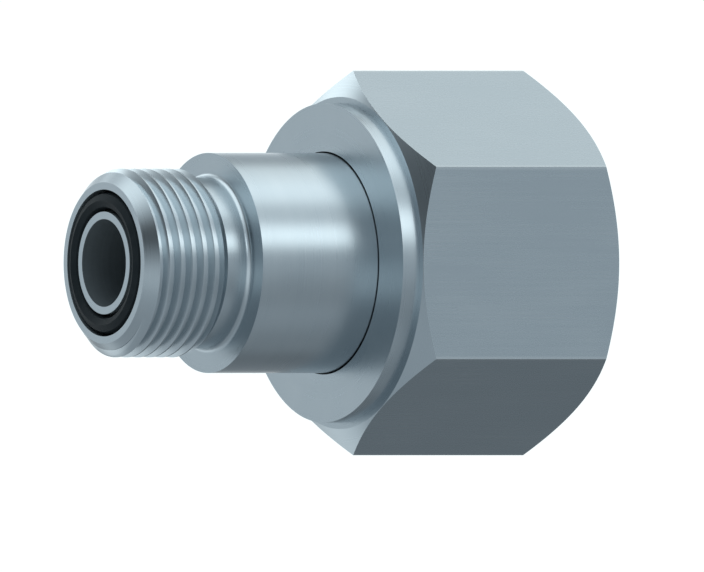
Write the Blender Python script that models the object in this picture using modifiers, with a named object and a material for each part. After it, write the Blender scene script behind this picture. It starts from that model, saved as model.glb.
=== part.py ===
"""Face seal tube fitting: a turned body with a male threaded end, a face O-ring and a loose swivel nut.

Every turned piece is drawn about its local Z axis, with lengths measured back from the male face.
That axis lies along world X, the male end towards -X, and two corners of the nut point up and down.
"""

import math

import bmesh
import bpy
from mathutils import Matrix

MM = 0.001
INCH = 25.4 * MM

# Male end
BORE_D = 9.5 * MM
SEAL_LIP_WALL = 0.84 * MM
SEAL_LAND_WALL = 0.78 * MM
LEAD_LENGTH = 1.4 * MM
MALE_THREAD_D = 20.4 * MM
MALE_PITCH = INCH / 18
MALE_THREAD_END = 8.95 * MM
MALE_THREAD_PHASE = 0.344 * MM
RELIEF_D = 18.5 * MM
RELIEF_FILLET = 0.5 * MM
SHOULDER_AT = 13.0 * MM

# Face O-ring
RING_SECTION_D = 1.78 * MM
RING_PROUD = 0.3 * MM
RING_SIDE_GAP = 0.29 * MM
RING_SEAT_GAP = 0.25 * MM

# Shank, flange and the female seal face
SHANK_D = 23.8 * MM
FLANGE_LENGTH = 4.3 * MM
FLANGE_FILLET = 0.5 * MM
FLANGE_CHAMFER = 0.4 * MM
COUNTERBORE_D = 15.5 * MM
COUNTERBORE_DEPTH = 12.0 * MM
DRILL_POINT_ANGLE = math.radians(118)
BORE_CHAMFER = 0.4 * MM

# Swivel nut
NUT_FRONT_AT = 27.4 * MM
NUT_LENGTH = 26.7 * MM
HEXAGON_SIDES = 6
NUT_ACROSS_FLATS = 36.0 * MM
COLLAR_STEP = 0.75 * MM
COLLAR_LENGTH = 2.07 * MM
NUT_CHAMFER_ANGLE = math.radians(30)
FRONT_CHAMFER_INSET = 0.05 * MM
REAR_CHAMFER_INSET = 0.3 * MM
NUT_WEB = 6.5 * MM
NUT_WEB_CHAMFER = 0.9 * MM
FEMALE_THREAD_D = 30.16 * MM
FEMALE_PITCH = INCH / 12
FEMALE_RELIEF_WALL = 0.3 * MM
FEMALE_RELIEF_LENGTH = 3.2 * MM
FEMALE_RELIEF_SETBACK = 2.4 * MM
FEMALE_MOUTH_WALL = 0.4 * MM

# Clearances
RUNNING_GAP = 0.2 * MM
FLANGE_SEAT_GAP = 0.3 * MM
FLANGE_ENTRY_GAP = 0.3 * MM

# Unified thread form, as shares of the pitch
THREAD_HALF_ANGLE = math.radians(30)
EXTERNAL_DEPTH = 0.6134
INTERNAL_DEPTH = 0.5413
EXTERNAL_CREST = 1 / 8
INTERNAL_CREST = 1 / 4
CUTTER_OVERLAP = 0.1 * MM
BLANK_OVERSIZE = 0.5 * MM
BAR_OVERHANG = 1.0 * MM

# Facets
TURN_STEPS = 60
ARC_STEPS = 5
RING_STEPS = 12
TURN_WELD_DISTANCE = 0.001 * MM
CUT_WELD_DISTANCE = 0.01 * MM

# Where the pieces lie along the axis
FLANGE_AT = NUT_FRONT_AT + NUT_WEB + FLANGE_SEAT_GAP
SEAL_FACE_AT = FLANGE_AT + FLANGE_LENGTH
NUT_REAR_AT = NUT_FRONT_AT + NUT_LENGTH
MIDDLE_AT = (NUT_REAR_AT - RING_PROUD) / 2
FEMALE_RELIEF_AT = NUT_FRONT_AT + NUT_WEB + FEMALE_RELIEF_SETBACK
FEMALE_RELIEF_END = FEMALE_RELIEF_AT + FEMALE_RELIEF_LENGTH

# Radii that follow from the sizes above
BORE_R = BORE_D / 2
GROOVE_INNER_R = BORE_R + SEAL_LIP_WALL
GROOVE_OUTER_R = GROOVE_INNER_R + RING_SECTION_D + 2 * RING_SIDE_GAP
GROOVE_DEPTH = RING_SECTION_D - RING_PROUD + RING_SEAT_GAP
RING_R = (GROOVE_INNER_R + GROOVE_OUTER_R) / 2
MALE_FACE_R = GROOVE_OUTER_R + SEAL_LAND_WALL
MALE_CREST_R = MALE_THREAD_D / 2
MALE_ROOT_R = MALE_CREST_R - EXTERNAL_DEPTH * MALE_PITCH
RELIEF_R = RELIEF_D / 2
SHANK_R = SHANK_D / 2
COUNTERBORE_R = COUNTERBORE_D / 2
NUT_BORE_R = SHANK_R + RUNNING_GAP
FEMALE_ROOT_R = FEMALE_THREAD_D / 2
FEMALE_CREST_R = FEMALE_ROOT_R - INTERNAL_DEPTH * FEMALE_PITCH
FEMALE_RELIEF_R = FEMALE_ROOT_R + FEMALE_RELIEF_WALL
FEMALE_MOUTH_R = FEMALE_ROOT_R + FEMALE_MOUTH_WALL
FLANGE_R = FEMALE_CREST_R - FLANGE_ENTRY_GAP
NUT_FLAT_R = NUT_ACROSS_FLATS / 2
NUT_CORNER_R = NUT_FLAT_R / math.cos(math.pi / HEXAGON_SIDES)
COLLAR_R = NUT_FLAT_R - COLLAR_STEP

# Linear colours, then roughness and metallic value
PLATED_STEEL = ((0.29, 0.376, 0.43), 0.3, 1.0)
BLACK_RUBBER = ((0.017, 0.022, 0.024), 0.5, 0.0)


def clear_scene():
    for leftover in list(bpy.data.objects):
        bpy.data.objects.remove(leftover, do_unlink=True)


def new_collection(name):
    collection = bpy.data.collections.new(name)
    bpy.context.scene.collection.children.link(collection)
    return collection


def new_material(name, surface):
    colour, roughness, metallic = surface
    material = bpy.data.materials.new(name)
    material.use_nodes = True
    shader = material.node_tree.nodes["Principled BSDF"]
    shader.inputs["Base Color"].default_value = (*colour, 1)
    shader.inputs["Roughness"].default_value = roughness
    shader.inputs["Metallic"].default_value = metallic
    return material


def new_object(name, bm, collection):
    """Turn a bmesh into an object whose local Z lies along world X, from the male face."""
    mesh = bpy.data.meshes.new(name)
    bm.to_mesh(mesh)
    bm.free()
    piece = bpy.data.objects.new(name, mesh)
    collection.objects.link(piece)
    piece.rotation_euler = (0, math.pi / 2, 0)
    piece.location = (-MIDDLE_AT, 0, 0)
    return piece


def finish(piece, material):
    """Give the piece its material, and let its large faces rule the smooth shading."""
    piece.data.materials.append(material)
    piece.modifiers.new("shading", "WEIGHTED_NORMAL")


def arc(centre_r, centre_z, radius, start, end):
    """Points of a round stretch of an outline, its angles counted from outwards towards the rear."""
    angles = [start + (end - start) * step / ARC_STEPS for step in range(ARC_STEPS + 1)]
    return [(centre_r + radius * math.cos(a), centre_z + radius * math.sin(a)) for a in angles]


def turned(name, outline, collection):
    """Spin a closed outline of (radius, length) points, its outer side first and from rear to front."""
    bm = bmesh.new()
    points = [bm.verts.new((r, 0, z)) for r, z in outline]
    for first, second in zip(points, points[1:] + points[:1]):
        bm.edges.new((first, second))
    piece = new_object(name, bm, collection)
    screw = piece.modifiers.new("turn", "SCREW")
    screw.axis = "Z"
    screw.steps = TURN_STEPS
    screw.render_steps = TURN_STEPS
    screw.use_smooth_shade = True
    screw.use_merge_vertices = True
    screw.merge_threshold = TURN_WELD_DISTANCE
    return piece


def as_cutter(piece):
    piece.display_type = "WIRE"
    piece.hide_render = True
    return piece


def cut(piece, cutter, operation="DIFFERENCE"):
    boolean = piece.modifiers.new(f"cut by {cutter.name}", "BOOLEAN")
    boolean.operation = operation
    boolean.solver = "EXACT"
    boolean.object = cutter


def weld(piece):
    """Join the doubled points that a thread cut leaves where its facets meet those of the blank."""
    modifier = piece.modifiers.new("weld", "WELD")
    modifier.merge_threshold = CUT_WELD_DISTANCE


def thread_cutter(name, root_r, crest_r, root_flat, pitch, first_at, last_at, collection):
    """A right hand helical groove tool: flat at the root and open past the crest.

    The groove starts on the -Y side, centred at first_at, and ends beyond last_at.
    """
    open_r = crest_r + math.copysign(CUTTER_OVERLAP, crest_r - root_r)
    open_half = root_flat / 2 + abs(open_r - root_r) * math.tan(THREAD_HALF_ANGLE)
    turns = math.ceil((last_at - first_at) / pitch)
    corners = [
        (root_r, -root_flat / 2),
        (root_r, root_flat / 2),
        (open_r, open_half),
        (open_r, -open_half),
    ]
    bm = bmesh.new()
    section = bm.faces.new([bm.verts.new((0, -r, first_at + z)) for r, z in corners])
    bmesh.ops.spin(
        bm,
        geom=[section, *section.edges, *section.verts],
        axis=(0, 0, 1),
        dvec=(0, 0, pitch / TURN_STEPS),
        angle=turns * math.tau,
        steps=turns * TURN_STEPS,
    )
    bmesh.ops.recalc_face_normals(bm, faces=bm.faces)
    return as_cutter(new_object(name, bm, collection))


def body_outline():
    """Fitting body from the seal face forward along its outside, then back through the bore."""
    drill_point = (COUNTERBORE_R - BORE_R) / math.tan(DRILL_POINT_ANGLE / 2)
    counterbore_end = SEAL_FACE_AT - COUNTERBORE_DEPTH
    flange = [
        (COUNTERBORE_R + BORE_CHAMFER, SEAL_FACE_AT),
        (FLANGE_R - FLANGE_CHAMFER, SEAL_FACE_AT),
        (FLANGE_R, SEAL_FACE_AT - FLANGE_CHAMFER),
        (FLANGE_R, FLANGE_AT + FLANGE_CHAMFER),
        (FLANGE_R - FLANGE_CHAMFER, FLANGE_AT),
    ]
    flange_fillet = arc(
        SHANK_R + FLANGE_FILLET, FLANGE_AT - FLANGE_FILLET, FLANGE_FILLET, math.pi / 2, math.pi
    )
    shoulder = [(SHANK_R, SHOULDER_AT)]
    relief_fillet = arc(
        RELIEF_R + RELIEF_FILLET, SHOULDER_AT - RELIEF_FILLET, RELIEF_FILLET, math.pi / 2, math.pi
    )
    male_end = [
        (RELIEF_R, MALE_THREAD_END + MALE_CREST_R - RELIEF_R),
        (MALE_CREST_R, MALE_THREAD_END),
        (MALE_CREST_R, LEAD_LENGTH),
        (MALE_FACE_R, 0),
    ]
    groove = [
        (GROOVE_OUTER_R, 0),
        (GROOVE_OUTER_R, GROOVE_DEPTH),
        (GROOVE_INNER_R, GROOVE_DEPTH),
        (GROOVE_INNER_R, 0),
    ]
    bore = [
        (BORE_R, 0),
        (BORE_R, counterbore_end - drill_point),
        (COUNTERBORE_R, counterbore_end),
        (COUNTERBORE_R, SEAL_FACE_AT - BORE_CHAMFER),
    ]
    return flange + flange_fillet + shoulder + relief_fillet + male_end + groove + bore


def nut_outline():
    """Swivel nut blank: chamfer cones and collar outside, bore, web, relief and thread bore inside."""
    slope = math.tan(NUT_CHAMFER_ANGLE)
    blank_r = NUT_CORNER_R + BLANK_OVERSIZE
    front_r = NUT_FLAT_R - FRONT_CHAMFER_INSET
    rear_r = NUT_FLAT_R - REAR_CHAMFER_INSET
    collar_end = NUT_FRONT_AT + COLLAR_LENGTH
    mouth_depth = FEMALE_MOUTH_R - FEMALE_CREST_R
    web_end = NUT_FRONT_AT + NUT_WEB
    relief_ramp = FEMALE_RELIEF_R - FEMALE_CREST_R
    outside = [
        (rear_r, NUT_REAR_AT),
        (blank_r, NUT_REAR_AT - (blank_r - rear_r) * slope),
        (blank_r, collar_end + (blank_r - front_r) * slope),
        (front_r, collar_end),
        (COLLAR_R, collar_end),
    ]
    inside = [
        (COLLAR_R, NUT_FRONT_AT),
        (NUT_BORE_R, NUT_FRONT_AT),
        (NUT_BORE_R, web_end - NUT_WEB_CHAMFER),
        (NUT_BORE_R + NUT_WEB_CHAMFER, web_end),
        (FEMALE_CREST_R, web_end),
        (FEMALE_CREST_R, FEMALE_RELIEF_AT),
        (FEMALE_RELIEF_R, FEMALE_RELIEF_AT + relief_ramp),
        (FEMALE_RELIEF_R, FEMALE_RELIEF_END - relief_ramp),
        (FEMALE_CREST_R, FEMALE_RELIEF_END),
        (FEMALE_CREST_R, NUT_REAR_AT - mouth_depth),
        (FEMALE_MOUTH_R, NUT_REAR_AT),
    ]
    return outside + inside


def build_body(parts, cutters, material):
    body = turned("fitting_body", body_outline(), parts)
    root_flat = MALE_PITCH * (1 - EXTERNAL_CREST) - 2 * EXTERNAL_DEPTH * MALE_PITCH * math.tan(
        THREAD_HALF_ANGLE
    )
    cutter = thread_cutter(
        "male_thread_cutter",
        MALE_ROOT_R,
        MALE_CREST_R,
        root_flat,
        MALE_PITCH,
        MALE_THREAD_PHASE - MALE_PITCH,
        MALE_THREAD_END + MALE_PITCH,
        cutters,
    )
    cut(body, cutter)
    weld(body)
    finish(body, material)
    return body


def build_ring(parts, material, body):
    bpy.ops.mesh.primitive_torus_add(
        major_segments=TURN_STEPS,
        minor_segments=RING_STEPS,
        major_radius=RING_R,
        minor_radius=RING_SECTION_D / 2,
        location=(0, 0, RING_SECTION_D / 2 - RING_PROUD),
    )
    ring = bpy.context.object
    ring.name = "face_o_ring"
    ring.data.name = ring.name
    for holder in list(ring.users_collection):
        holder.objects.unlink(ring)
    parts.objects.link(ring)
    ring.data.shade_smooth()
    ring.parent = body
    finish(ring, material)
    return ring


def hexagon_prism(name, collection):
    """A hexagonal bar about local Z that reaches past both ends of the nut, a corner towards local X."""
    middle = Matrix.Translation((0, 0, NUT_FRONT_AT + NUT_LENGTH / 2))
    corner_up = Matrix.Rotation(math.pi / HEXAGON_SIDES, 4, "Z")
    bm = bmesh.new()
    bmesh.ops.create_cone(
        bm,
        cap_ends=True,
        segments=HEXAGON_SIDES,
        radius1=NUT_CORNER_R,
        radius2=NUT_CORNER_R,
        depth=NUT_LENGTH + 2 * BAR_OVERHANG,
        matrix=middle @ corner_up,
    )
    return as_cutter(new_object(name, bm, collection))


def build_nut(parts, cutters, material):
    nut = turned("swivel_nut", nut_outline(), parts)
    cut(nut, hexagon_prism("hexagon_bar", cutters), "INTERSECT")
    root_flat = FEMALE_PITCH * (1 - INTERNAL_CREST) - 2 * INTERNAL_DEPTH * FEMALE_PITCH * math.tan(
        THREAD_HALF_ANGLE
    )
    cutter = thread_cutter(
        "female_thread_cutter",
        FEMALE_ROOT_R,
        FEMALE_CREST_R,
        root_flat,
        FEMALE_PITCH,
        FEMALE_RELIEF_END - FEMALE_PITCH,
        NUT_REAR_AT + FEMALE_PITCH,
        cutters,
    )
    cut(nut, cutter)
    weld(nut)
    finish(nut, material)
    return nut


def main():
    clear_scene()
    parts = new_collection("face_seal_fitting")
    cutters = new_collection("cutters")
    body = build_body(parts, cutters, new_material("plated_steel_body", PLATED_STEEL))
    build_ring(parts, new_material("black_rubber", BLACK_RUBBER), body)
    build_nut(parts, cutters, new_material("plated_steel_nut", PLATED_STEEL))


main()
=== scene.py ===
"""Dresses a face seal tube fitting: finely turned steel, a face O-ring and a loose swivel nut.

Sizes are in metres. The pieces turn about world X, the male end towards -X, and an outline is a
list of (length, radius) points whose lengths are measured back from the male face.
"""

import math

import bmesh
import bpy
from mathutils import Matrix, Vector


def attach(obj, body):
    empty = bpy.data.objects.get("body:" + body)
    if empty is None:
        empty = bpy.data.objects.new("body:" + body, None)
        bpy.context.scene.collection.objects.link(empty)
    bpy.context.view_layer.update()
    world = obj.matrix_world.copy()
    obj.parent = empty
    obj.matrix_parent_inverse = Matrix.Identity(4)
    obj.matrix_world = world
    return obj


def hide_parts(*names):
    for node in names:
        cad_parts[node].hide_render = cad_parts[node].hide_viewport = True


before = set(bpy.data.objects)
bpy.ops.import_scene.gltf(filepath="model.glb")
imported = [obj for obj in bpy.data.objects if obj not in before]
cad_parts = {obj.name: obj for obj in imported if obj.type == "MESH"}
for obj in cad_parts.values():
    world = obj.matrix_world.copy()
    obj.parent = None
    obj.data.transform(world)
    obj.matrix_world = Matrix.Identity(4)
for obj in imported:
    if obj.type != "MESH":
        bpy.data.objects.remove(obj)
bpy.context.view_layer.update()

MM = 0.001
INCH = 25.4 * MM

# Male end: its face with the ring groove, its lead chamfer, thread and relief
BORE_R = 4.75 * MM
GROOVE_INNER_R = 5.55 * MM
GROOVE_OUTER_R = 7.95 * MM
GROOVE_DEPTH = 1.73 * MM
MALE_FACE_R = 8.73 * MM
LEAD_LENGTH = 1.4 * MM
MALE_CREST_R = 10.2 * MM
MALE_PITCH = INCH / 18
MALE_THREAD_END = 9.03 * MM
MALE_END_RAMP = 1.12 * MM
MALE_THREAD_PHASE = 0.344 * MM
RELIEF_R = 9.25 * MM
RELIEF_FILLET = 0.6 * MM
SHOULDER_AT = 13.0 * MM
RING_R = 6.75 * MM
RING_SECTION_R = 0.97 * MM
RING_PROUD = 0.3 * MM

# Shank, flange and the female seal face
SHANK_R = 11.9 * MM
FLANGE_AT = 34.2 * MM
FLANGE_FILLET = 0.5 * MM
FLANGE_CHAMFER = 0.4 * MM
FLANGE_R = 13.634 * MM
SEAL_FACE_AT = 38.5 * MM
COUNTERBORE_R = 7.75 * MM
COUNTERBORE_DEPTH = 12.0 * MM
DRILL_POINT_ANGLE = math.radians(118)
BORE_CHAMFER = 0.4 * MM

# Swivel nut
NUT_FRONT_AT = 27.4 * MM
NUT_REAR_AT = 54.1 * MM
ACROSS_FLATS = 36.0 * MM
CORNER_R = ACROSS_FLATS / math.sqrt(3)
COLLAR_R = 17.25 * MM
COLLAR_LENGTH = 2.07 * MM
FRONT_CHAMFER_R = 17.95 * MM
CHAMFER_ANGLE = math.radians(30)
REAR_CHAMFER_R = 17.7 * MM
NUT_BORE_R = 12.06 * MM
WEB_LENGTH = 6.5 * MM
WEB_CHAMFER = 0.9 * MM
FEMALE_PITCH = INCH / 12
FEMALE_CREST_R = 13.934 * MM
FEMALE_ROOT_R = 15.08 * MM
FEMALE_RELIEF_R = 15.38 * MM
FEMALE_RELIEF_AT = 36.3 * MM
FEMALE_RELIEF_END = 39.5 * MM
FEMALE_MOUTH_R = 15.48 * MM
BLANK_OVERSIZE = 0.5 * MM
BAR_OVERHANG = 1.0 * MM

# Thread form, as shares of the pitch
THREAD_HALF_ANGLE = math.radians(30)
MALE_THREAD_DEPTH = 0.5413
MALE_ROOT_FLAT = 1 / 4
FEMALE_ROOT_FLAT = 1 / 8
CUTTER_OVERLAP = 0.1 * MM

# Facets and tolerances
TURN_STEPS = 240
ARC_STEPS = 8
SEAM_WELD = 0.0001 * MM
CUT_WELD = 0.001 * MM
SHARP_ANGLE = math.radians(24)
MALE_FACE_X = -26.9 * MM
X_AXIS = (1, 0, 0)
SLIVER = 0.01 * MM
FLANK_TOLERANCE = 0.03

# Camera and floor
PICTURE_WIDTH = 76.1 * MM
PICTURE_MIDDLE = Vector((4.06 * MM, 0, -2.49 * MM))
CAMERA_TURN = math.radians(-30)
CAMERA_DISTANCE = 2.0
FLOOR_HALF_WIDTH = 4.0
FLOOR_GAP = 0.02 * MM

# Surface patterns: noise cells per metre, and the height of the relief that they raise
FEED_MARK_SCALE = 5200
TOOL_PASS_SCALE = 620
TURNED_CLOUD_SCALE = 210
FEED_MARK_HEIGHT = 0.001 * MM
DIE_LINE_SCALE = 3600
DRAWN_CLOUD_SCALE = 180
DIE_LINE_HEIGHT = 0.0005 * MM
DRILL_MARK_SCALE = 3000
GRAIN_SCALE = 9000
BLOOM_SCALE = 700
GRAIN_HEIGHT = 0.0015 * MM
# Hexagon corners: rubbed wear and a painted edge highlight, fading in from the first width to full
# at the second
RUBBED_HIGHLIGHT_WIDTH = 0.22 * MM
BRIGHT_WIDTH = 0.04 * MM

# Linear colours
PLATED_STEEL = (0.406, 0.473, 0.515)
# Lighter worn steel: random wear on turned faces, and on the hexagon's corners also a painted edge
# highlight
WORN_AND_HIGHLIGHT_STEEL = (0.486, 0.547, 0.583)
BURNISHED_STEEL = (0.463, 0.531, 0.571)
BURNISHED_PEAKS = (0.54, 0.599, 0.635)
# Painted shade: near black colours for the bore, the counterbore and the ring groove's walls, which
# lie in shade
PAINTED_SHADE_BLACK = (0.071, 0.089, 0.099)
PAINTED_SHADE_GREY = (0.101, 0.124, 0.138)
BLACK_RUBBER = (0.012, 0.0165, 0.0195)
RUBBER_BLOOM = (0.017, 0.022, 0.0255)
RUBBER_SHEEN = (0.7, 0.9, 1.0)
COOL_DAYLIGHT = (0.905, 1.0, 1.07)
LAMP_WHITE = (0.965, 1.0, 0.98)
PALE_FLOOR = (0.68, 0.68, 0.68)
LIT_FLOOR = (0.73, 0.776, 0.791)


class Value:
    """A shader socket on which sums are written as plain Python expressions."""

    def __init__(self, tree, socket):
        self.tree = tree
        self.socket = socket

    def maths(self, operation, *others):
        """Add a Math node whose first input is this value."""
        node = self.tree.nodes.new("ShaderNodeMath")
        node.operation = operation
        for slot, value in zip(node.inputs, (self, *others)):
            plug(self.tree, slot, value)
        return Value(self.tree, node.outputs[0])

    def flipped(self, operation, other):
        """Add a Math node whose second input is this value."""
        node = self.tree.nodes.new("ShaderNodeMath")
        node.operation = operation
        plug(self.tree, node.inputs[0], other)
        plug(self.tree, node.inputs[1], self)
        return Value(self.tree, node.outputs[0])

    def __add__(self, other):
        return self.maths("ADD", other)

    def __radd__(self, other):
        return self.maths("ADD", other)

    def __sub__(self, other):
        return self.maths("SUBTRACT", other)

    def __rsub__(self, other):
        return self.flipped("SUBTRACT", other)

    def __mul__(self, other):
        return self.maths("MULTIPLY", other)

    def __rmul__(self, other):
        return self.maths("MULTIPLY", other)

    def __truediv__(self, other):
        return self.maths("DIVIDE", other)

    def __rtruediv__(self, other):
        return self.flipped("DIVIDE", other)

    def step(self, low, high):
        """A soft step that is 0 up to one level and 1 from the other."""
        share = ((self - low) / (high - low)).maths("MAXIMUM", 0.0).maths("MINIMUM", 1.0)
        return share * share * (3.0 - 2.0 * share)


def plug(tree, slot, value):
    """Link a socket, or write a plain number, colour or vector."""
    if isinstance(value, Value):
        tree.links.new(value.socket, slot)
    elif hasattr(value, "__len__") and len(value) == 3 and slot.type == "RGBA":
        slot.default_value = (*value, 1)
    else:
        slot.default_value = value


class Shop:
    """One emptied node tree, with a single way to add any node."""

    def __init__(self, owner):
        owner.use_nodes = True
        self.tree = owner.node_tree
        self.tree.nodes.clear()

    def node(self, kind, settings, sockets):
        """Add a node, give it its settings, then its sockets by name or by number."""
        node = self.tree.nodes.new(kind)
        for name, value in settings.items():
            setattr(node, name, value)
        for name, value in sockets.items():
            plug(self.tree, node.inputs[name], value)
        return node

    def add(self, kind, settings, sockets, output=0):
        return Value(self.tree, self.node(kind, settings, sockets).outputs[output])

    def mix(self, share, first, second):
        """Blend two colours."""
        return self.add("ShaderNodeMix", {"data_type": "RGBA"}, {0: share, 6: first, 7: second}, 2)

    def noise(self, vector, scale, detail=2.0, roughness=0.5):
        """Grey noise, about 0.5 on average."""
        sockets = {"Vector": vector, "Scale": scale, "Detail": detail, "Roughness": roughness}
        return self.add("ShaderNodeTexNoise", {}, sockets)

    def relief(self, pattern, height):
        """Raise a pattern from the surface by a height in metres."""
        sockets = {"Strength": 1.0, "Distance": height, "Height": pattern}
        return self.add("ShaderNodeBump", {}, sockets)

    def axes(self):
        """Object coordinates x, y and z."""
        place = self.add("ShaderNodeTexCoord", {}, {}, "Object")
        split = self.node("ShaderNodeSeparateXYZ", {}, {0: place})
        return [Value(self.tree, output) for output in split.outputs]

    def vector(self, x, y, z):
        return self.add("ShaderNodeCombineXYZ", {}, {0: x, 1: y, 2: z})


def arc(centre_s, centre_r, radius, start, end):
    """Points of a round stretch of an outline, its angles counted from outwards to the rear."""
    angles = [start + (end - start) * step / ARC_STEPS for step in range(ARC_STEPS + 1)]
    return [(centre_s + radius * math.sin(a), centre_r + radius * math.cos(a)) for a in angles]


def turned(outline):
    """Spin a closed outline of (length, radius) points about X into a closed bmesh."""
    bm = bmesh.new()
    points = [bm.verts.new((MALE_FACE_X + s, 0, r)) for s, r in outline]
    for first, second in zip(points, points[1:] + points[:1]):
        bm.edges.new((first, second))
    bmesh.ops.spin(
        bm,
        geom=[*bm.verts, *bm.edges],
        axis=X_AXIS,
        angle=math.tau,
        steps=TURN_STEPS,
        use_merge=True,
    )
    bmesh.ops.remove_doubles(bm, verts=bm.verts, dist=SEAM_WELD)
    bmesh.ops.recalc_face_normals(bm, faces=bm.faces)
    return bm


def new_piece(name, bm):
    """Put a bmesh into the scene as an object at the origin, and let go of it."""
    mesh = bpy.data.meshes.new(name)
    bm.to_mesh(mesh)
    bm.free()
    piece = bpy.data.objects.new(name, mesh)
    bpy.context.scene.collection.objects.link(piece)
    return piece


def thread_groove(root_r, crest_r, root_flat, pitch, first_at, last_at):
    """A right hand helical groove, flat at its root, that starts on the -Y side."""
    open_r = crest_r + math.copysign(CUTTER_OVERLAP, crest_r - root_r)
    open_half = root_flat / 2 + abs(open_r - root_r) * math.tan(THREAD_HALF_ANGLE)
    turns = math.ceil((last_at - first_at) / pitch)
    corners = [
        (-root_flat / 2, root_r),
        (root_flat / 2, root_r),
        (open_half, open_r),
        (-open_half, open_r),
    ]
    bm = bmesh.new()
    section = bm.faces.new([bm.verts.new((MALE_FACE_X + first_at + s, -r, 0)) for s, r in corners])
    bmesh.ops.spin(
        bm,
        geom=[section, *section.edges, *section.verts],
        axis=X_AXIS,
        dvec=(pitch / TURN_STEPS, 0, 0),
        angle=turns * math.tau,
        steps=turns * TURN_STEPS,
    )
    bmesh.ops.recalc_face_normals(bm, faces=bm.faces)
    return bm


def carve(piece, tool_bm, operation="DIFFERENCE"):
    """Cut a piece with a tool, keep the result as its mesh and put the tool away."""
    tool = new_piece("tool", tool_bm)
    cut = piece.modifiers.new("cut", "BOOLEAN")
    cut.operation = operation
    cut.solver = "EXACT"
    cut.object = tool
    depsgraph = bpy.context.evaluated_depsgraph_get()
    carved = bpy.data.meshes.new_from_object(piece.evaluated_get(depsgraph))
    piece.modifiers.clear()
    rough = piece.data
    piece.data = carved
    carved.name = piece.name
    bpy.data.meshes.remove(rough)
    tool_mesh = tool.data
    bpy.data.objects.remove(tool)
    bpy.data.meshes.remove(tool_mesh)


def finish_shape(piece):
    """Join doubled points, smooth the turned surfaces and keep the machined edges sharp."""
    bm = bmesh.new()
    bm.from_mesh(piece.data)
    bmesh.ops.remove_doubles(bm, verts=bm.verts, dist=CUT_WELD)
    bmesh.ops.dissolve_degenerate(bm, edges=bm.edges, dist=CUT_WELD / 4)
    for face in bm.faces:
        face.smooth = True
    for edge in bm.edges:
        edge.smooth = len(edge.link_faces) == 2 and edge.calc_face_angle(math.pi) < SHARP_ANGLE
    bm.to_mesh(piece.data)
    bm.free()
    shading = piece.modifiers.new("shading", "WEIGHTED_NORMAL")
    shading.keep_sharp = True


def body_outline():
    """The body's section, from the female seal face round the outside and back through the bore."""
    drill_point = (COUNTERBORE_R - BORE_R) / math.tan(DRILL_POINT_ANGLE / 2)
    counterbore_end = SEAL_FACE_AT - COUNTERBORE_DEPTH
    flange = [
        (SEAL_FACE_AT, COUNTERBORE_R + BORE_CHAMFER),
        (SEAL_FACE_AT, FLANGE_R - FLANGE_CHAMFER),
        (SEAL_FACE_AT - FLANGE_CHAMFER, FLANGE_R),
        (FLANGE_AT + FLANGE_CHAMFER, FLANGE_R),
        (FLANGE_AT, FLANGE_R - FLANGE_CHAMFER),
    ]
    flange_fillet = arc(
        FLANGE_AT - FLANGE_FILLET, SHANK_R + FLANGE_FILLET, FLANGE_FILLET, math.pi / 2, math.pi
    )
    shank = [(SHOULDER_AT, SHANK_R)]
    relief_fillet = arc(
        SHOULDER_AT - RELIEF_FILLET, RELIEF_R + RELIEF_FILLET, RELIEF_FILLET, math.pi / 2, math.pi
    )
    male_end = [
        (MALE_THREAD_END + MALE_END_RAMP, RELIEF_R),
        (MALE_THREAD_END, MALE_CREST_R),
        (LEAD_LENGTH, MALE_CREST_R),
        (0, MALE_FACE_R),
    ]
    groove = [
        (0, GROOVE_OUTER_R),
        (GROOVE_DEPTH, GROOVE_OUTER_R),
        (GROOVE_DEPTH, GROOVE_INNER_R),
        (0, GROOVE_INNER_R),
    ]
    bore = [
        (0, BORE_R),
        (counterbore_end - drill_point, BORE_R),
        (counterbore_end, COUNTERBORE_R),
        (SEAL_FACE_AT - BORE_CHAMFER, COUNTERBORE_R),
    ]
    return flange + flange_fillet + shank + relief_fillet + male_end + groove + bore


def nut_outline():
    """The section of the nut's turned blank, its web and thread bore, before the hexagon is cut."""
    slope = math.tan(CHAMFER_ANGLE)
    blank_r = CORNER_R + BLANK_OVERSIZE
    collar_end = NUT_FRONT_AT + COLLAR_LENGTH
    mouth_depth = FEMALE_MOUTH_R - FEMALE_CREST_R
    relief_ramp = FEMALE_RELIEF_R - FEMALE_CREST_R
    web_end = NUT_FRONT_AT + WEB_LENGTH
    outside = [
        (NUT_REAR_AT, REAR_CHAMFER_R),
        (NUT_REAR_AT - (blank_r - REAR_CHAMFER_R) * slope, blank_r),
        (collar_end + (blank_r - FRONT_CHAMFER_R) * slope, blank_r),
        (collar_end, FRONT_CHAMFER_R),
        (collar_end, COLLAR_R),
    ]
    inside = [
        (NUT_FRONT_AT, COLLAR_R),
        (NUT_FRONT_AT, NUT_BORE_R),
        (web_end - WEB_CHAMFER, NUT_BORE_R),
        (web_end, NUT_BORE_R + WEB_CHAMFER),
        (web_end, FEMALE_CREST_R),
        (FEMALE_RELIEF_AT, FEMALE_CREST_R),
        (FEMALE_RELIEF_AT + relief_ramp, FEMALE_RELIEF_R),
        (FEMALE_RELIEF_END - relief_ramp, FEMALE_RELIEF_R),
        (FEMALE_RELIEF_END, FEMALE_CREST_R),
        (NUT_REAR_AT - mouth_depth, FEMALE_CREST_R),
        (NUT_REAR_AT, FEMALE_MOUTH_R),
    ]
    return outside + inside


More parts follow.
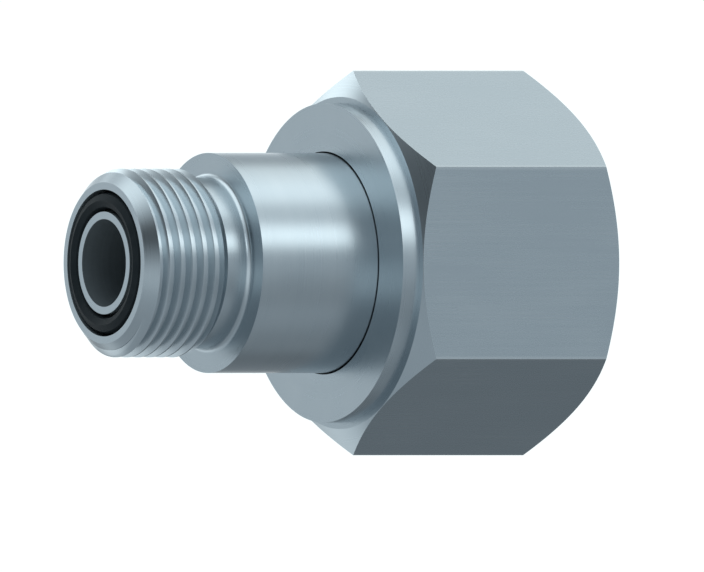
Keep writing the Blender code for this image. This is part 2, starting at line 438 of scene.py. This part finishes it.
def hexagon_bar():
    """A hexagonal bar about X, longer than the nut, with a corner up and a corner down."""
    bm = bmesh.new()
    bmesh.ops.create_cone(
        bm,
        cap_ends=True,
        segments=6,
        radius1=CORNER_R,
        radius2=CORNER_R,
        depth=NUT_REAR_AT - NUT_FRONT_AT + 2 * BAR_OVERHANG,
        matrix=Matrix.Translation((MALE_FACE_X + (NUT_FRONT_AT + NUT_REAR_AT) / 2, 0, 0))
        @ Matrix.Rotation(math.pi / 2, 4, "Y")
        @ Matrix.Rotation(math.pi / 6, 4, "Z"),
    )
    return bm


def turned_steel(name, plain, rubbed):
    """Plated steel with the fine rings that a lathe tool leaves on every face it has cut."""
    material = bpy.data.materials.new(name)
    shop = Shop(material)
    x, y, z = shop.axes()
    radius = (y * y + z * z).maths("SQRT")
    along = shop.vector(x, radius, 0.0)
    feed_marks = shop.noise(along, FEED_MARK_SCALE, detail=3, roughness=0.65) - 0.5
    tool_passes = shop.noise(along, TOOL_PASS_SCALE, detail=1) - 0.5
    cloud = shop.noise(shop.vector(x, y, z), TURNED_CLOUD_SCALE, detail=3) - 0.5
    worn = (0.5 + 0.16 * feed_marks + 0.1 * tool_passes + 0.22 * cloud).step(0.35, 0.75)
    colour = shop.mix(worn, plain, rubbed)
    bump = shop.relief(feed_marks, FEED_MARK_HEIGHT)
    plate(shop, colour, 0.29 + 0.12 * feed_marks + 0.04 * cloud, bump)
    return material


def drawn_steel():
    """Plated steel with the faint lengthwise lines of drawn bar, and corners lighter as rubbed wear
    and a painted edge highlight.
    """
    material = bpy.data.materials.new("drawn_steel")
    shop = Shop(material)
    x, y, z = shop.axes()
    radius = (y * y + z * z).maths("SQRT")
    lengthwise = shop.vector(0.02 * x, y, z)
    die_lines = shop.noise(lengthwise, DIE_LINE_SCALE, detail=3, roughness=0.6) - 0.5
    cloud = shop.noise(shop.vector(0.5 * x, y, z), DRAWN_CLOUD_SCALE, detail=3) - 0.5
    # Painted edge highlight with rubbed wear: the hexagon's corners turn to the lighter steel
    corner = radius.step(CORNER_R - RUBBED_HIGHLIGHT_WIDTH, CORNER_R - BRIGHT_WIDTH)
    worn = (0.42 + 0.11 * die_lines + 0.2 * cloud).step(0.35, 0.75)
    colour = shop.mix(worn.maths("MAXIMUM", corner), PLATED_STEEL, WORN_AND_HIGHLIGHT_STEEL)
    bump = shop.relief(die_lines, DIE_LINE_HEIGHT)
    plate(shop, colour, 0.27 + 0.08 * die_lines + 0.05 * cloud, bump)
    return material


def plate(shop, colour, roughness, bump):
    """Finish a material as bare metal plate."""
    sockets = {"Base Color": colour, "Roughness": roughness, "Metallic": 1.0, "Normal": bump}
    shader = shop.add("ShaderNodeBsdfPrincipled", {}, sockets)
    shop.node("ShaderNodeOutputMaterial", {}, {0: shader})


def painted_shade_bore():
    """The passage and the ring groove: a near black colour as painted shade where they lie deep in
    shadow, with the rings of the drill.
    """
    material = bpy.data.materials.new("painted_shade_bore")
    shop = Shop(material)
    x, y, z = shop.axes()
    radius = (y * y + z * z).maths("SQRT")
    drill_marks = shop.noise(shop.vector(x, radius, 0.0), DRILL_MARK_SCALE)
    # Painted shade: the passage's near black colour, varied by the drill's rings
    colour = shop.mix(drill_marks, PAINTED_SHADE_BLACK, PAINTED_SHADE_GREY)
    sockets = {
        "Base Color": colour,
        "Roughness": 0.45 + 0.2 * drill_marks,
        "Specular IOR Level": 0.3,
    }
    shader = shop.add("ShaderNodeBsdfPrincipled", {}, sockets)
    shop.node("ShaderNodeOutputMaterial", {}, {0: shader})
    return material


def black_rubber():
    """Moulded rubber with a faint bloom and a fine mould grain."""
    material = bpy.data.materials.new("black_rubber")
    shop = Shop(material)
    x, y, z = shop.axes()
    grain = shop.noise(shop.vector(x, y, z), GRAIN_SCALE)
    bloom = shop.noise(shop.vector(x, y, z), BLOOM_SCALE, detail=3)
    colour = shop.mix(bloom.step(0.3, 0.8), BLACK_RUBBER, RUBBER_BLOOM)
    bump = shop.relief(grain, GRAIN_HEIGHT)
    sockets = {
        "Base Color": colour,
        "Roughness": 0.5 + 0.14 * bloom,
        "Specular IOR Level": 0.12,
        "Specular Tint": RUBBER_SHEEN,
        "Normal": bump,
    }
    shader = shop.add("ShaderNodeBsdfPrincipled", {}, sockets)
    shop.node("ShaderNodeOutputMaterial", {}, {0: shader})
    return material


def choose_faces(piece, material, test):
    """Give one more material to the faces whose middle and normal pass a test."""
    piece.data.materials.append(material)
    for face in piece.data.polygons:
        if test(face.center, face.normal):
            face.material_index = len(piece.data.materials) - 1


def in_dark_passage(middle, normal):
    """The bore, the counterbore and the walls of the ring groove."""
    s = middle.x - MALE_FACE_X
    r = math.hypot(middle.y, middle.z)
    in_bore = r < BORE_R + SLIVER
    in_counterbore = s > SHOULDER_AT and r < COUNTERBORE_R + SLIVER
    in_groove = SLIVER < s < GROOVE_DEPTH + SLIVER and r < GROOVE_OUTER_R + SLIVER
    return in_bore or in_counterbore or in_groove


def on_male_thread(middle, normal):
    """The flanks of the male thread, which stand at 30 degrees to a plane across the axis."""
    s = middle.x - MALE_FACE_X
    r = math.hypot(middle.y, middle.z)
    flank = abs(abs(normal.x) - math.cos(THREAD_HALF_ANGLE)) < FLANK_TOLERANCE
    return flank and s < MALE_THREAD_END + MALE_PITCH and MALE_FACE_R < r < MALE_CREST_R


def on_hexagon_flat(middle, normal):
    """The six spanner flats."""
    return abs(middle.dot(normal) - ACROSS_FLATS / 2) < SLIVER


def make_body(steel, thread, bore):
    """The one-piece body: turned, then its helical male thread cut."""
    body = new_piece("turned_body", turned(body_outline()))
    carve(
        body,
        thread_groove(
            MALE_CREST_R - MALE_THREAD_DEPTH * MALE_PITCH,
            MALE_CREST_R,
            MALE_ROOT_FLAT * MALE_PITCH,
            MALE_PITCH,
            MALE_THREAD_PHASE - MALE_PITCH,
            MALE_THREAD_END + MALE_PITCH,
        ),
    )
    finish_shape(body)
    body.data.materials.append(steel)
    choose_faces(body, thread, on_male_thread)
    # The bore, the counterbore and the ring groove's walls take the painted shade
    choose_faces(body, bore, in_dark_passage)
    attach(body, "fitting")
    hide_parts("fitting_body")


def make_ring(rubber):
    """The face ring, which stands a little proud of the male face."""
    section = arc(RING_SECTION_R - RING_PROUD, RING_R, RING_SECTION_R, 0, math.tau)[:-1]
    ring = new_piece("face_seal_ring", turned(section))
    finish_shape(ring)
    ring.data.materials.append(rubber)
    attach(ring, "fitting")
    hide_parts("face_o_ring")


def make_nut(steel, flats):
    """The loose nut: a turned blank cut to a hexagon, with its internal thread."""
    nut = new_piece("hexagon_nut", turned(nut_outline()))
    carve(nut, hexagon_bar(), "INTERSECT")
    carve(
        nut,
        thread_groove(
            FEMALE_ROOT_R,
            FEMALE_CREST_R,
            FEMALE_ROOT_FLAT * FEMALE_PITCH,
            FEMALE_PITCH,
            FEMALE_RELIEF_END - FEMALE_PITCH,
            NUT_REAR_AT + FEMALE_PITCH,
        ),
    )
    finish_shape(nut)
    nut.data.materials.append(steel)
    choose_faces(nut, flats, on_hexagon_flat)
    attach(nut, "nut")
    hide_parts("swivel_nut")


def make_camera():
    """A level view without perspective, from in front and from the male end's side."""
    data = bpy.data.cameras.new("camera")
    data.type = "ORTHO"
    data.ortho_scale = PICTURE_WIDTH
    data.clip_start = 0.01
    data.clip_end = 10
    camera = bpy.data.objects.new("camera", data)
    bpy.context.scene.collection.objects.link(camera)
    back = Vector((math.sin(CAMERA_TURN), -math.cos(CAMERA_TURN), 0))
    camera.location = PICTURE_MIDDLE + back * CAMERA_DISTANCE
    camera.rotation_euler = (math.pi / 2, 0, CAMERA_TURN)
    bpy.context.scene.camera = camera


def make_floor():
    """A wide pale floor; the metal mirrors the studio below it instead of its own shadow."""
    bm = bmesh.new()
    bmesh.ops.create_grid(bm, x_segments=1, y_segments=1, size=FLOOR_HALF_WIDTH)
    bmesh.ops.translate(bm, verts=bm.verts, vec=(0, 0, -CORNER_R - FLOOR_GAP))
    floor = new_piece("floor", bm)
    material = bpy.data.materials.new("pale_floor")
    shop = Shop(material)
    shader = shop.add("ShaderNodeBsdfPrincipled", {}, {"Base Color": PALE_FLOOR, "Roughness": 0.9})
    shop.node("ShaderNodeOutputMaterial", {}, {0: shader})
    floor.data.materials.append(material)
    floor.visible_glossy = False


def make_studio():
    """Plain daylight from all sides, with soft lamps and a few darker patches by direction.

    A camera low enough to look in under the floor's edge sees the colour of the lit floor there.
    """
    world = bpy.data.worlds.new("studio")
    bpy.context.scene.world = world
    shop = Shop(world)
    direction = shop.add("ShaderNodeTexCoord", {}, {}, "Generated")

    def towards(*axis):
        """How far the direction leans towards an axis: 1 along it, 0 across it."""
        sockets = {0: direction, 1: axis}
        return shop.add("ShaderNodeVectorMath", {"operation": "DOT_PRODUCT"}, sockets, 1)

    def round_patch(azimuth, elevation, full, none):
        """A round patch, in degrees: full strength within one angle, nothing past the other."""
        a, e = math.radians(azimuth), math.radians(elevation)
        middle = towards(math.cos(e) * math.cos(a), math.cos(e) * math.sin(a), math.sin(e))
        return middle.step(math.cos(math.radians(none)), math.cos(math.radians(full)))

    def square_patch(azimuth, elevation, half_width, half_height, edge):
        """An upright rectangular patch, in degrees, with soft edges."""
        a, e = math.radians(azimuth), math.radians(elevation)
        ahead = towards(math.cos(e) * math.cos(a), math.cos(e) * math.sin(a), math.sin(e))
        across = towards(-math.sin(a), math.cos(a), 0.0)
        above = towards(-math.sin(e) * math.cos(a), -math.sin(e) * math.sin(a), math.cos(e))
        sides = []
        for offset, half in ((across, half_width), (above, half_height)):
            angle = offset.maths("ARCTAN2", ahead).maths("ABSOLUTE")
            sides.append(1.0 - angle.step(math.radians(half - edge), math.radians(half + edge)))
        return sides[0] * sides[1]

    daylight = (
        0.553
        - 0.42 * square_patch(172, 20, 36, 20, 4)
        - 0.17 * square_patch(200, 24, 14, 10, 4)
        - 0.15 * round_patch(-56, -25, 4, 20)
        - 0.13 * round_patch(0, -90, 20, 70)
        - 0.08 * round_patch(11, -59, 6, 26)
        - 0.23 * round_patch(57, -28, 16, 42)
        - 0.3 * round_patch(38, 52, 10, 26)
        - 0.11 * round_patch(128, 30, 4, 22)
    )
    lamps = (
        0.94 * round_patch(90, 87, 37, 43)
        + 0.27 * round_patch(90, 87, 43, 56)
        + 1.19 * square_patch(-70, 25.5, 36, 11, 2)
        + 0.6 * square_patch(-62, 25, 20, 4.5, 3)
        + 0.18 * square_patch(-50, 42, 16, 6, 4)
        + 0.55 * square_patch(-115, -15, 35, 15, 10)
        + 0.69 * round_patch(61, 2, 6, 22)
        + 0.33 * round_patch(90, 2, 6, 22)
        + 1.65 * square_patch(104, 24, 12, 8, 4)
        + 0.58 * round_patch(106, -25, 4, 20)
        + 0.24 * round_patch(122, 0, 4, 20)
    )

    def glow(colour, strength):
        return shop.add("ShaderNodeBackground", {}, {"Color": colour, "Strength": strength})

    sockets = {0: glow(COOL_DAYLIGHT, daylight), 1: glow(LAMP_WHITE, lamps)}
    studio = shop.add("ShaderNodeAddShader", {}, sockets)
    camera_ray = shop.add("ShaderNodeLightPath", {}, {}, "Is Camera Ray")
    downwards = towards(0.0, 0.0, -1.0).step(0.01, 0.03)
    sockets = {0: camera_ray * downwards, 1: studio, 2: glow(LIT_FLOOR, 1.0)}
    seen = shop.add("ShaderNodeMixShader", {}, sockets)
    shop.node("ShaderNodeOutputWorld", {}, {0: seen})


bpy.context.scene.view_settings.view_transform = "Standard"
make_camera()
make_studio()
make_floor()
steel = turned_steel("turned_steel", PLATED_STEEL, WORN_AND_HIGHLIGHT_STEEL)
thread = turned_steel("burnished_thread", BURNISHED_STEEL, BURNISHED_PEAKS)
make_body(steel, thread, painted_shade_bore())
make_ring(black_rubber())
make_nut(steel, drawn_steel())
